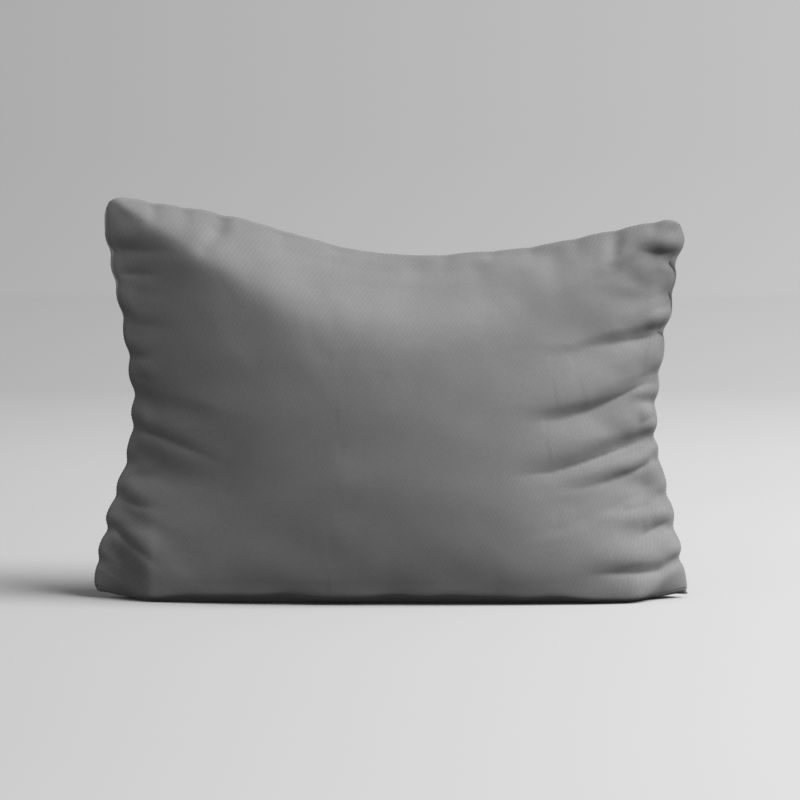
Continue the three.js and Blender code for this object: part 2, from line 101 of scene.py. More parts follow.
def form(side, nx, nz, warp=True):
    """The plumped form before any crease: fullest below the middle, leaning back to the top seam."""
    U, V = grid(nx, nz)
    P = seam_plane(nx, nz, warp)
    S = spline(SECTION, np.linspace(0, 1, nz + 1))
    ys, zs = S[None, :, 0] * np.ones_like(U), S[None, :, 1] * np.ones_like(U)
    e = np.abs(2 * U - 1)
    g = (1 - e ** 2.2).clip(0)
    full = (1 - e ** 4).clip(0) ** .7
    f_mid, f_low, f_top = g, np.where(U < .5, .85 * g + .15 * full, full), .05 * g + .95 * (1 - e ** 1.5).clip(0) ** 1.15
    low, high = 1 - smooth(.12, .44, V), smooth(.5, .85, V)
    f = f_mid * (1 - low) * (1 - high) + f_low * low + f_top * high
    x, zp = P[..., 0], P[..., 1]
    held = np.minimum(22, ys) * (1 - smooth(.16, .42, V)) * near_zip(x)
    # above the belly the slope of the top and the slope of the side meet in a soft ridge that runs to the corner
    a, b, p = (ys / 95).clip(1e-3), f.clip(1e-3), 6.0
    roof = 95 * (a ** -p + b ** -p - 1) ** (-1 / p)
    up = smooth(.44, .54, V)
    y = (held + (ys - held) * f) * (1 - up) + roof * up * (np.minimum(ys, 1) * np.minimum(f * 50, 1))
    top = spline(TOP, np.linspace(0, 1, nx + 1))[:, 1][:, None] / 383
    zm = np.where(V > .3, zs * (1 + (top - 1) * smooth(.3, 1, V)), zs)
    s_ = g ** .8
    m = s_ ** .55 + (smooth(0, .5, s_) - s_ ** .55) * (1 - smooth(.14, .42, V))
    z = zp * (1 - m) + zm * m
    z = np.where(V > .03, np.maximum(z, .02), z)
    return np.stack([x, side * y, z], -1)


# ------------------------------------------------------------------ cloth simulation of the whole cover
def simulate():
    """Two flat 70 x 50 cm sheets joined at the seam are drawn to the seam outline and blown up. Returns front and back as (NX+1, NZ+1, 3) in mm."""
    U, V = grid(NX, NZ)
    held = seam_plane(NX, NZ, False)
    edge = np.zeros_like(U, bool)
    edge[0] = edge[-1] = True
    edge[:, 0] = edge[:, -1] = True
    n = U.size
    front = np.arange(n).reshape(U.shape)
    back = front.copy()
    back[~edge] = n + np.arange((~edge).sum())
    bump = (1 - np.abs(2 * U - 1) ** 2.5) * (1 - np.abs(2 * V - 1) ** 2.5)

    def both(P, depth):
        f = np.c_[P[..., 0].ravel(), -depth.ravel(), P[..., 1].ravel()]
        b = np.c_[P[..., 0][~edge], depth[~edge], P[..., 1][~edge]]
        return np.vstack([f, b]) * MM

    flat = both(np.stack([(U - .5) * FLAT_W, V * FLAT_H + 8], -1), np.where(edge, 0, 3 + 5 * bump))
    faces = []
    for i in range(NX):
        for j in range(NZ):
            faces.append([front[i, j], front[i + 1, j], front[i + 1, j + 1], front[i, j + 1]])
            faces.append([back[i, j], back[i, j + 1], back[i + 1, j + 1], back[i + 1, j]])
    mesh = bpy.data.meshes.new("sim")
    mesh.from_pydata(flat.tolist(), [], [[int(a) for a in f] for f in faces])
    o = bpy.data.objects.new("sim", mesh)
    scene.collection.objects.link(o)
    o.shape_key_add(name="Basis")
    key = o.shape_key_add(name="held")
    key.data.foreach_set("co", both(held, np.where(edge, 0, 55 * bump)).ravel())
    key.value = 0
    key.keyframe_insert("value", frame=1)
    key.value = 1
    key.keyframe_insert("value", frame=18)
    group = o.vertex_groups.new(name="seam")
    group.add([int(a) for a in front[edge]], 1.0, "REPLACE")
    fm = bpy.data.meshes.new("simfloor")
    fm.from_pydata([(-1, -1, 0), (1, -1, 0), (1, 1, 0), (-1, 1, 0)], [], [(0, 1, 2, 3)])
    fl = bpy.data.objects.new("simfloor", fm)
    scene.collection.objects.link(fl)
    fl.modifiers.new("col", "COLLISION")
    fl.collision.thickness_outer = 0.002
    c = o.modifiers.new("cloth", "CLOTH")
    s = c.settings
    s.vertex_group_mass = "seam"
    s.quality, s.mass = 5, 0.15
    s.tension_stiffness = s.compression_stiffness = 15
    s.shear_stiffness, s.bending_stiffness = 5, 0.12
    s.tension_damping = s.compression_damping = s.shear_damping = 5
    s.bending_damping, s.air_damping = 0.5, 2
    s.use_pressure, s.uniform_pressure_force = True, 2.3
    s.effector_weights.gravity = 0
    c.collision_settings.use_collision = True
    c.collision_settings.distance_min = 0.002
    c.collision_settings.use_self_collision = False
    last = 40
    scene.frame_start, scene.frame_end = 1, last
    c.point_cache.frame_end = last
    for f in range(1, last + 1):
        scene.frame_set(f)
    e = o.evaluated_get(bpy.context.evaluated_depsgraph_get()).data
    P = np.empty(len(e.vertices) * 3, np.float32)
    e.vertices.foreach_get("co", P)
    P = P.reshape(-1, 3).astype(float) / MM
    for gone in (o, fl):
        data = gone.data
        bpy.data.objects.remove(gone)
        bpy.data.meshes.remove(data)
    for a in list(bpy.data.actions):
        bpy.data.actions.remove(a)
    scene.frame_set(1)
    return P[front], P[back]


def finer(P, k):
    """Each cell divided k times by bicubic interpolation."""
    def along(A):
        A = np.concatenate([2 * A[:1] - A[1:2], A, 2 * A[-1:] - A[-2:-1]])
        rows = []
        for i in range(1, len(A) - 2):
            p0, p1, p2, p3 = A[i - 1:i + 3]
            for s in np.arange(k) / k:
                rows.append(.5 * (2 * p1 + (p2 - p0) * s + (2 * p0 - 5 * p1 + 4 * p2 - p3) * s * s + (3 * p1 - p0 - 3 * p2 + p3) * s ** 3))
        rows.append(A[-2])
        return np.array(rows)
    return along(along(P).transpose(1, 0, 2)).transpose(1, 0, 2)


def relax(P, times, amount=.5):
    for _ in range(times):
        Q = P.copy()
        Q[1:-1, 1:-1] = (P[:-2, 1:-1] + P[2:, 1:-1] + P[1:-1, :-2] + P[1:-1, 2:]) / 4
        P = P + (Q - P) * amount
    return P


def normals(P, side):
    du = np.gradient(P, axis=0)
    dv = np.gradient(P, axis=1)
    n = np.cross(du, dv)
    n /= np.linalg.norm(n, axis=-1, keepdims=True) + 1e-9
    return n * (1 if side < 0 else -1)


front, back = simulate()

def blur(A, sigma):
    r = int(3 * sigma)
    k = np.exp(-(np.arange(-r, r + 1) / sigma) ** 2 / 2)
    k /= k.sum()
    for axis in (0, 1):
        pad = [(0, 0)] * A.ndim
        pad[axis] = (r, r)
        B_ = np.pad(A, pad, mode="reflect", reflect_type="odd")
        A = sum(w * np.take(B_, np.arange(i, i + A.shape[axis]), axis=axis) for i, w in enumerate(k))
    return A


def detail(P, side):
    """What the simulated cloth adds to the form, measured along the form's normals."""
    G = form(side, NX, NZ, False)
    P = relax(P, 2)
    P = P.copy()
    P[..., 1] *= HALF / (side * P[..., 1]).max()
    R = ((P - G) * normals(G, side)).sum(-1)
    d = R - blur(R, 6.0)
    return np.clip(d, -7, 7)


def build(P, side):
    d = finer(np.repeat(detail(P, side)[..., None], 3, -1), UP)[..., 0]
    G = form(side, NX * UP, NZ * UP)
    # the front is drawn smooth over the fill and slack only beside the seams; the back keeps more of its creases
    keep = smooth(4, 34, D_EDGE) * smooth(.14, .22, V) * ((.1 + .3 * (1 - smooth(40, 120, SIDE)) * (U > .5)) if side < 0 else .7)
    return G + normals(G, side) * (d * keep)[..., None]


U, V = grid(NX * UP, NZ * UP)
D_EDGE = np.minimum(np.minimum(U, 1 - U) * FLAT_W, np.minimum(V, 1 - V) * FLAT_H)  # flat distance from the seam
SIDE = np.minimum(U, 1 - U) * FLAT_W
F, B = build(front, -1), build(back, 1)

# puckers of the side seams: (height, depth, half width), heights as on the seam
NOTCH_L = [(385, 2.6, 9), (352, 1.6, 8), (315, 2.6, 10), (271, 2.8, 10), (228, 3.4, 11), (191, 3.0, 9), (150, 3.0, 9), (114, 2.8, 8), (77, 4.0, 8), (40, 3.6, 8)]
NOTCH_R = [(375, 3.8, 11), (340, 1.8, 9), (298, 4.2, 10), (252, 2.4, 9), (218, 2.6, 8), (181, 3.8, 8), (156, 2.0, 8), (116, 2.6, 8), (79, 3.0, 9), (43, 4.4, 8)]
NOTCH_T = [(-262, 1.5, 8), (-228, 1.2, 9), (-186, 2.0, 9), (-120, 1.0, 12), (-60, .9, 12), (60, .8, 10), (112, .9, 9), (156, 1.0, 9), (206, 1.0, 9), (250, 1.4, 9), (292, 1.2, 8)]

# creases of the front: the fold's sharp lower line from the seam inwards [(x, z), ...], height of the roll above it,
# distance up to the crest, and from the crest to where it fades, all mm as seen from the front
FOLDS_FRONT = [
    # right side
    ([(324, 386), (300, 383), (281, 385), (262, 389)], 4.6, 10, 18),
    ([(317, 332), (289, 319), (262, 312)], 3.6, 9, 15),
    ([(309, 297), (277, 288), (246, 283), (205, 279)], 6.4, 13, 28),
    ([(302, 246), (277, 235), (250, 222), (222, 208), (188, 199), (132, 194)], 9.5, 18, 36),
    ([(300, 208), (286, 199), (266, 190)], 3.0, 7, 10),
    ([(296, 180), (272, 171), (237, 158), (208, 148), (180, 140), (118, 135)], 10.0, 16, 30),
    ([(301, 158), (284, 149), (266, 139), (243, 130), (217, 123), (180, 118)], 7.0, 11, 20),
    ([(309, 108), (290, 102), (266, 98), (238, 95)], 4.0, 7, 16),
    ([(319, 88), (301, 80), (284, 71), (266, 57)], 7.0, 11, 18),
    ([(321, 42), (301, 30), (277, 27), (246, 27), (205, 22)], 8.5, 14, 26),
    # left side, low and soft
    ([(-312, 388), (-267, 386), (-216, 388)], 1.0, 13, 22),
    ([(-309, 360), (-284, 361), (-245, 361)], 1.4, 9, 16),
    ([(-300, 308), (-267, 304), (-234, 299)], .8, 10, 18),
    ([(-292, 271), (-256, 266)], .8, 9, 16),
    ([(-289, 248), (-251, 239)], .8, 9, 14),
    ([(-285, 190), (-260, 181), (-217, 163), (-171, 143)], 2.2, 12, 22),
    ([(-299, 139), (-279, 137), (-256, 132)], 1.0, 9, 14),
    ([(-307, 113), (-279, 102), (-245, 98)], 2.0, 10, 18),
    ([(-311, 80), (-286, 56), (-251, 28)], 2.6, 9, 16),
    ([(-325, 38), (-306, 23), (-284, 14)], 1.6, 8, 12),
]
# hollows: centre line, depth, half width
DENTS_FRONT = [
    ([(-186, 432), (-194, 410), (-206, 392)], 6.0, 11),
    ([(249, 408), (246, 372)], 4.5, 9),
    ([(29, 375), (27, 349)], 1.6, 15),
    ([(93, 379), (102, 349)], 1.8, 14),
    ([(175, 386), (188, 338)], 2.6, 16),
]
EYE = (10.6, -4000.0, 221.0, math.tan(math.radians(4.0)))  # where the front is looked at from


def line_field(X, Z, pts):
    """For each point: distance to the polyline, its side (positive above), and share of the way along."""
    pts = np.array(pts, float)
    seg = np.diff(pts, axis=0)
    length = np.hypot(*seg.T)
    start = np.r_[0, np.cumsum(length)]
    best = np.full(X.shape, 1e9)
    side = np.zeros(X.shape)
    along = np.zeros(X.shape)
    for k, (p, d) in enumerate(zip(pts[:-1], seg)):
        t = np.clip(((X - p[0]) * d[0] + (Z - p[1]) * d[1]) / (d @ d), 0, 1)
        dx, dz = X - p[0] - t * d[0], Z - p[1] - t * d[1]
        r = np.hypot(dx, dz)
        nz = d[0] if abs(d[0]) > abs(d[1]) else d[1]
        s = (d[0] * dz - d[1] * dx) * np.sign(nz)
        near = r < best
        best = np.where(near, r, best)
        side = np.where(near, s, side)
        along = np.where(near, (start[k] + t * length[k]) / start[-1], along)
    return best, side, along


def seen(P):
    """Places on the front, drawn on the seam plane as they are seen from the front."""
    D = -EYE[1]
    k = D / (D + P[..., 1])
    return EYE[0] + (P[..., 0] - EYE[0]) * k, EYE[2] + (P[..., 2] - EYE[2]) * k + P[..., 1] * EYE[3]


def fold_height(X, Z, pts, h, rise, fade):
    """A valley along the line: the fabric rolls out above it, and slopes out to the light again below it."""
    r, side, a = line_field(X, Z, pts)
    end = np.hypot(X - pts[-1][0], Z - pts[-1][1])
    grow = 1 + .5 * a
    up_rise, up_fade, lo_rise, lo_fade = rise * grow, fade * grow, .75 * rise * grow, 1.5 * rise * grow

    def side_of(rise_, fade_):
        return np.where(r < rise_, np.sin(np.pi / 2 * np.clip(r / rise_, 0, 1)), .5 + .5 * np.cos(np.pi * np.clip((r - rise_) / fade_, 0, 1)))

    soft = smooth(-1.5, 1.5, side) if isinstance(side, np.ndarray) else side
    shape = side_of(up_rise, up_fade) * soft + .5 * side_of(lo_rise, lo_fade) * (1 - soft)
    return h * (shape - .25) * (1 - smooth(.3, 1, a)) * (1 - smooth(up_rise + up_fade, up_rise + up_fade + 14, r))


def pucker(P, side):
    """Draws the side and top seams in at each notch, with short creases running from it into the panel."""
    P = P.copy()
    n = normals(P, side)
    L, R, T = P[0], P[-1], P[:, -1]
    move = np.zeros_like(P)
    lift = np.zeros(P.shape[:2])
    for notches, seam, sign in ((NOTCH_L, L, 1), (NOTCH_R, R, -1)):
        dist = (U if sign > 0 else 1 - U) * FLAT_W
        for k, (z, depth, w) in enumerate(notches):
            here = np.exp(-((P[..., 2] - z) / w) ** 2)
            between = np.exp(-((P[..., 2] - z - 1.9 * w) / (1.2 * w)) ** 2)
            near = np.exp(-(dist / (14 if sign > 0 and side < 0 else 26)) ** 2)
            move[..., 0] += sign * depth * (here - .35 * between) * near
            slope = (.22 if k % 2 else -.12) * (1 if side < 0 else -1)
            crease = np.exp(-((P[..., 2] - z + slope * dist) / (w * (.62 + dist / 120))) ** 2)
            ridge = np.exp(-((P[..., 2] - z - 1.7 * w + slope * dist) / (w * (.8 + dist / 120))) ** 2)
            fade = smooth(0, 9, dist) * np.exp(-(dist / (34 + 8 * (k % 3))) ** 2)
            lift += depth * (-1.0 * crease + .75 * ridge) * fade * (1 if side > 0 else .1 if sign > 0 else .6)
    dist = (1 - V) * FLAT_H
    for k, (x, depth, w) in enumerate(NOTCH_T):
        here = np.exp(-((P[..., 0] - x) / w) ** 2)
        move[..., 2] -= depth * here * np.exp(-(dist / 18) ** 2)
        fade = smooth(0, 8, dist) * np.exp(-(dist / 26) ** 2)
        lift += -depth * here * fade
    return P + move + n * lift[..., None]


def fine(P, side, seed):
    """Low soft undulations of the fabric and a little slackness near the seams."""
    rng = np.random.default_rng(seed)
    h = np.zeros(P.shape[:2])
    for _ in range(26):
        a, f, ph = rng.uniform(-.5, .5), rng.uniform(.006, .02), rng.uniform(0, 6.28)
        h += rng.uniform(.1, .3) * np.sin(6.283 * f * (P[..., 2] * math.cos(a) + P[..., 0] * math.sin(a)) + ph)
    near = np.exp(-(D_EDGE / 90) ** 2)
    left = .45 if side < 0 else 1
    return P + normals(P, side) * (h * (.35 + 1.0 * near) * smooth(0, 20, D_EDGE) * np.where(U < .4, left, 1))[..., None]


def base(P, side):
    """Keeps the strip on the floor and the lips beside the zip as the form has them."""
    G = form(side, NX * UP, NZ * UP)
    w = (1 - smooth(.1, .17, V))[..., None]
    P = P * (1 - w) + G * w
    P[..., 2] = np.maximum(P[..., 2], 0.02)
    return P


F, B = pucker(F, -1), pucker(B, 1)
nF = normals(F, -1)
h = np.zeros(F.shape[:2])
XS, ZS = seen(F)
for f in FOLDS_FRONT:
    h += fold_height(XS, ZS, *f)
for pts, depth, w in DENTS_FRONT:
    r, _, a = line_field(XS, ZS, pts)
    h -= depth * np.exp(-(r / w) ** 2) * (1 - .6 * smooth(.3, 1, a))
F = F + nF * (h * smooth(2, 26, D_EDGE))[..., None]
nB = normals(B, 1)
h = np.zeros(B.shape[:2])
for f in FOLDS_FRONT:  # the back creases the same way, its lines scaled, raised and waved a little in height so the two sides differ
    pts = [(x * .99, z * .93 + 14 + 7 * math.sin(x)) for x, z in f[0]]
    h += .8 * fold_height(B[..., 0], B[..., 2], pts, *f[1:])
B = B + nB * (h * smooth(2, 26, D_EDGE))[..., None]
F, B = fine(F, -1, 7), fine(B, 1, 8)
F, B = base(F, -1), base(B, 1)
# one seam line for both panels, with the groove that stitching pulls in
away = near_zip(F[..., 0]) < .01
onseam = (D_EDGE < 1e-6)
shared = onseam & ((V > 1e-6) | away)
mid = (F + B) / 2
F[shared] = mid[shared]
B[shared] = mid[shared]
SEAM = F.copy()


def groove(P, side):
    P = P.copy()
    C = np.array([0.0, 0.0, 215.0])
    inward = np.zeros_like(P)
    inward[0, :, 0] = 1
    inward[-1, :, 0] = -1
    inward[:, -1, 2] = -1
    inward /= np.maximum(np.linalg.norm(inward, axis=-1, keepdims=True), 1)
    P += inward * 1.6 * ((V > .03) * 1.0)[..., None]
    return P


F, B = groove(F, -1), groove(B, 1)


# ------------------------------------------------------------------ mesh building
def sheet_mesh(name, P, side, uv=True, v0=0):
    nx, nz = P.shape[0] - 1, P.shape[1] - 1
    idx = np.arange((nx + 1) * (nz + 1)).reshape(nx + 1, nz + 1)
    a, b, c, d = idx[:-1, :-1], idx[1:, :-1], idx[1:, 1:], idx[:-1, 1:]
    faces = np.stack([a, b, c, d] if side < 0 else [a, d, c, b], -1).reshape(-1, 4)
    mesh = bpy.data.meshes.new(name)
    mesh.from_pydata((P.reshape(-1, 3) * MM).tolist(), [], faces.tolist())
    if uv:
        layer = mesh.uv_layers.new(name="flat")
        u = np.linspace(0, 1, nx + 1)[:, None] * np.ones(nz + 1) * FLAT_W * MM
        v = np.ones(nx + 1)[:, None] * ((np.arange(nz + 1) + v0) / (NZ * UP) if nx == NX * UP else np.linspace(0, 1, nz + 1)) * FLAT_H * MM
        flat = np.stack([u.ravel(), v.ravel()], -1)
        loops = np.empty(len(mesh.loops), np.int32)
        mesh.loops.foreach_get("vertex_index", loops)
        layer.data.foreach_set("uv", flat[loops].ravel())
    mesh.shade_smooth()
    o = bpy.data.objects.new(name, mesh)
    scene.collection.objects.link(o)
    return o


def apply(o, make):
    m = make(o.modifiers)
    bpy.context.view_layer.objects.active = o
    for other in bpy.context.selected_objects:
        other.select_set(False)
    o.select_set(True)
    bpy.ops.object.modifier_apply(modifier=m.name)


def thick(o, t):
    def make(mods):
        m = mods.new("thick", "SOLIDIFY")
        m.thickness, m.offset = t * MM, -1
        m.use_even_offset = False
        return m
    apply(o, make)


J0 = int(round(V0 * NZ * UP))
XJ = F[:, J0, 0]
WAVE = np.sin(XJ / 29) + .7 * np.sin(XJ / 16.5 + 2) + .4 * np.sin(XJ / 9.5 + 1)
IN = smooth(0, 110, SIDE[:, 0])  # fades at the bottom corners
belly = np.exp(-((V - .145) / .03) ** 2)
F[..., 2] += belly * (1.1 * WAVE * IN)[:, None] + np.exp(-((V - V0) / .012) ** 2) * 1.0
ends = smooth(150, 240, XJ) + (1 - smooth(-300, -210, XJ))  # towards the corners the front comes down to the floor
F[..., 2] -= .55 * (ends * smooth(10, 60, SIDE[:, 0]))[:, None] * F[..., 2] * (1 - smooth(8, 30, F[..., 2])) * (V > V0 - 1e-6)
PANEL, STRIP = F[:, J0:].copy(), F[:, :J0 + 1].copy()
nJ = normals(F, -1)
for k, up_ in enumerate((2.0, 1.3, .6)):  # the panel tucks in above the seam
    PANEL[:, k, 2] += up_ * IN
for k, (fwd, up_) in enumerate(((2.6, 1.2), (1.8, .3), (.8, 0))):  # the strip's edge turns up in front of it
    STRIP[:, -1 - k, 1] -= fwd * IN
    STRIP[:, -1 - k, 2] += (up_ + (.8 * WAVE if k == 0 else 0)) * IN
STRIP[..., 2] = np.maximum(STRIP[..., 2], .02)
cover_front = sheet_mesh("cover_front", PANEL, -1, v0=J0)
cover_strip = sheet_mesh("cover_under_strip", STRIP, -1)
cover_back = sheet_mesh("cover_back", B, 1)
for o in (cover_front, cover_back, cover_strip):
    thick(o, 0.8)


# the pad inside: the cover's own form, smaller, on a coarser grid
def shrink(P, side, inset, deep):
    Q = relax(P[::UP, ::UP], 6)
    n = normals(Q, side)
    Q = Q - n * deep
    nx, nz = Q.shape[:2]
    iu = np.linspace(inset / FLAT_W, 1 - inset / FLAT_W, nx) * (nx - 1)
    iv = np.linspace(inset / FLAT_H, 1 - inset / FLAT_H, nz) * (nz - 1)
    a, b = np.floor(iu).astype(int).clip(0, nx - 2), np.floor(iv).astype(int).clip(0, nz - 2)
    fa, fb = (iu - a)[:, None, None], (iv - b)[None, :, None]
    R = (Q[a][:, b] * (1 - fa) + Q[a + 1][:, b] * fa) * (1 - fb) + (Q[a][:, b + 1] * (1 - fa) + Q[a + 1][:, b + 1] * fa) * fb
    e = np.minimum(np.minimum(np.arange(nx), np.arange(nx)[::-1])[:, None], np.minimum(np.arange(nz), np.arange(nz)[::-1])[None, :])
    k = np.clip(e / 5, 0, 1) ** .6
    R[..., 1] = side * (np.maximum(side * R[..., 1], .3) * k + .15)
    R[..., 2] = np.where(np.abs(R[..., 1]) < 24, np.maximum(R[..., 2], 15.5), np.maximum(R[..., 2], 2.0 + deep * .2))
    return R


TF, TB = shrink(F, -1, 16, 6), shrink(B, 1, 16, 6)
pad_front = sheet_mesh("pad_front", TF, -1)
pad_back = sheet_mesh("pad_back", TB, 1)
for o in (pad_front, pad_back):
    thick(o, 0.5)
GF, GB = shrink(F, -1, 22, 9), shrink(B, 1, 22, 9)
GB[0], GB[-1], GB[:, 0], GB[:, -1] = GF[0], GF[-1], GF[:, 0], GF[:, -1]


def closed(name, A, Bk):
    nx, nz = A.shape[0], A.shape[1]
    idx = np.arange(nx * nz).reshape(nx, nz)
    edge = np.zeros((nx, nz), bool)
    edge[0] = edge[-1] = True
    edge[:, 0] = edge[:, -1] = True
    bi = idx.copy()
    bi[~edge] = nx * nz + np.arange((~edge).sum())
    verts = np.vstack([A.reshape(-1, 3), Bk[~edge]]) * MM
    q = lambda i: (i[:-1, :-1], i[1:, :-1], i[1:, 1:], i[:-1, 1:])
    a, b, c, d = q(idx)
    e, f, g, hh = q(bi)
    faces = np.vstack([np.stack([a, b, c, d], -1).reshape(-1, 4), np.stack([e, hh, g, f], -1).reshape(-1, 4)])
    mesh = bpy.data.meshes.new(name)
    mesh.from_pydata(verts.tolist(), [], faces.tolist())
    mesh.shade_smooth()
    o = bpy.data.objects.new(name, mesh)
    scene.collection.objects.link(o)
    return o


fill = closed("fibre_fill", GF, GB)


# ------------------------------------------------------------------ stitches in the seam
def tubes(name, paths, r, sides=6):
    """One mesh of short tubes along lists of points, in mm."""
    verts, faces = [], []
    ang = np.arange(sides) * 2 * math.pi / sides
    for pts in paths:
        pts = np.array(pts, float)
        t = np.gradient(pts, axis=0)
        t /= np.linalg.norm(t, axis=1, keepdims=True) + 1e-9
        ref = np.array([0, 1.0, 0]) if abs(t[0][1]) < .8 else np.array([1.0, 0, 0])
        base0 = len(verts)
        for k, (p, d) in enumerate(zip(pts, t)):
            a = np.cross(d, ref)
            a /= np.linalg.norm(a) + 1e-9
            b = np.cross(d, a)
            rr = r * (.55 if k in (0, len(pts) - 1) else 1)
            verts += [p + rr * (math.cos(w) * a + math.sin(w) * b) for w in ang]
        for k in range(len(pts) - 1):
            for m in range(sides):
                n2 = (m + 1) % sides
                faces.append([base0 + k * sides + m, base0 + k * sides + n2, base0 + (k + 1) * sides + n2, base0 + (k + 1) * sides + m])
        faces.append([base0 + m for m in range(sides)][::-1])
        faces.append([base0 + (len(pts) - 1) * sides + m for m in range(sides)])
    mesh = bpy.data.meshes.new(name)
    mesh.from_pydata((np.array(verts) * MM).tolist(), [], faces)
    mesh.shade_smooth()
    o = bpy.data.objects.new(name, mesh)
    scene.collection.objects.link(o)
    return o


def resample(pts, step):
    pts = np.array(pts)
    L = np.r_[0, np.cumsum(np.linalg.norm(np.diff(pts, axis=0), axis=1))]
    s = np.arange(0, L[-1], step)
    return np.stack([np.interp(s, L, pts[:, k]) for k in range(3)], -1)


start = int(round(.035 * SEAM.shape[1]))
loop = np.vstack([F[0, start:], F[1:, -1], F[-1, ::-1][1:-start]])
line = resample(loop, 1.0)
stitches = []
for k in range(0, len(line) - 4, 4):
    seg = line[k:k + 4].copy()
    seg[:, 1] += np.array([-.35, .1, .25, .45])
    stitches.append(seg)
seam_stitches = tubes("cover_seam_stitches", stitches, .28, 6)


def overlock(name, curve, inward):
    """Looped thread over the raw edges, just inside the seam."""
    pts = resample(curve, 1.0)
    paths = []
    for k in range(0, len(pts) - 4, 3):
        p, q = pts[k], pts[k + 2]
        a, b = p + inward * 4.5, q + inward * 9
        paths.append([a + [0, -1.0, 0], b + [0, -1.0, 0], b + inward * .8, b + [0, 1.0, 0], a + [0, 1.0, 0]])
    return tubes(name, paths, .25, 5)


nz = SEAM.shape[1] - 1
lo, hi = int(.14 * nz), int(.8 * nz)
nx = SEAM.shape[0] - 1
over_l = overlock("overlock_left", SEAM[0, lo:hi], np.array([1.0, 0, 0]))
over_r = overlock("overlock_right", SEAM[-1, lo:hi], np.array([-1.0, 0, 0]))
over_t = overlock("overlock_top", SEAM[int(.07 * nx):int(.93 * nx), -1], np.array([0, 0, -1.0]))

STRIP_NODES = ("cover_under_strip",) if "cover_under_strip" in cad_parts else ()
for o, nodes, slot in ((cover_front, ("cover_front_panel",), "cover_twill"), (cover_back, ("cover_back_panel",), "cover_twill"),
                       (cover_strip, STRIP_NODES, "cover_twill"), (pad_front, ("pad_ticking_front",), "pad_ticking"), (pad_back, ("pad_ticking_back",), "pad_ticking"),
                       (fill, ("pad_fibre_fill",), "pad_fibre"), (over_l, ("cover_overlock_left",), "cover_thread"),
                       (over_r, ("cover_overlock_right",), "cover_thread"), (over_t, ("cover_overlock_top",), "cover_thread"),
                       (seam_stitches, (), "cover_thread")):
    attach(o, BODY)
    if nodes:
        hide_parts(*nodes)


# ------------------------------------------------------------------ materials
class Nodes:
    def __init__(self, name):
        self.m = bpy.data.materials.new(name)
        self.m.use_nodes = True
        self.t = self.m.node_tree
        self.t.nodes.clear()
        self.bsdf = self.t.nodes.new("ShaderNodeBsdfPrincipled")
        out = self.t.nodes.new("ShaderNodeOutputMaterial")
        self.t.links.new(self.bsdf.outputs[0], out.inputs[0])

    def add(self, kind, **values):
        n = self.t.nodes.new(kind)
        for k, v in values.items():
            if hasattr(n, k):
                setattr(n, k, v)
            else:
                n.inputs[k.replace("_", " ")].default_value = v
        return n

    def link(self, a, b, *, out=0, inp=0):
        self.t.links.new(a.outputs[out], b.inputs[inp])
        return b

    def coords(self, uv, scale=(1, 1, 1), turn=0.0):
        c = self.add("ShaderNodeTexCoord")
        m = self.add("ShaderNodeMapping")
        self.t.links.new(c.outputs["UV" if uv else "Object"], m.inputs[0])
        m.inputs["Scale"].default_value = scale
        m.inputs["Rotation"].default_value = (0, 0, turn)
        return m

    def noise(self, src, scale, detail=3, rough=.55):
        n = self.add("ShaderNodeTexNoise", Scale=scale, Detail=detail, Roughness=rough)
        return self.link(src, n, inp="Vector")

    def wave(self, src, pitch, distortion=0.0, detail=2, dscale=1.0, profile="SIN"):
        n = self.add("ShaderNodeTexWave", wave_type="BANDS", bands_direction="X", wave_profile=profile)
        n.inputs["Scale"].default_value = 0.31416 / pitch  # one band per pitch metres
        n.inputs["Distortion"].default_value = distortion
        n.inputs["Detail"].default_value = detail
        n.inputs["Detail Scale"].default_value = dscale
        return self.link(src, n, inp="Vector")

    def mix(self, a, b, fac=.5, mode="MIX"):
        n = self.add("ShaderNodeMix", data_type="FLOAT") if mode == "MIX" else self.add("ShaderNodeMath", operation=mode)
        if mode == "MIX":
            n.inputs[0].default_value = fac
            self.t.links.new(a.outputs[0], n.inputs[2])
            self.t.links.new(b.outputs[0], n.inputs[3])
        else:
            self.t.links.new(a.outputs[0], n.inputs[0])
            self.t.links.new(b.outputs[0], n.inputs[1])
        return n

    def ramp(self, src, stops):
        n = self.add("ShaderNodeValToRGB")
        e = n.color_ramp.elements
        e[0].position, e[0].color = stops[0][0], (*stops[0][1], 1)
        e[1].position, e[1].color = stops[-1][0], (*stops[-1][1], 1)
        for p, c in stops[1:-1]:
            x = e.new(p)
            x.color = (*c, 1)
        return self.link(src, n, inp="Fac")

    def range(self, src, lo, hi):
        n = self.add("ShaderNodeMapRange")
        n.inputs["To Min"].default_value, n.inputs["To Max"].default_value = lo, hi
        return self.link(src, n, inp="Value")

    def bump(self, src, distance, strength=1.0):
        n = self.add("ShaderNodeBump", Strength=strength, Distance=distance)
        self.t.links.new(src.outputs[0], n.inputs["Height"])
        self.t.links.new(n.outputs[0], self.bsdf.inputs["Normal"])
        return n

    def set(self, **values):
        for k, v in values.items():
            self.bsdf.inputs[k.replace("_", " ")].default_value = v

    def to(self, src, socket):
        self.t.links.new(src.outputs[0], self.bsdf.inputs[socket])


def g(v, tint=(1, 1, 1)):
    return tuple(v * c for c in tint)


ALBEDO = 0.24


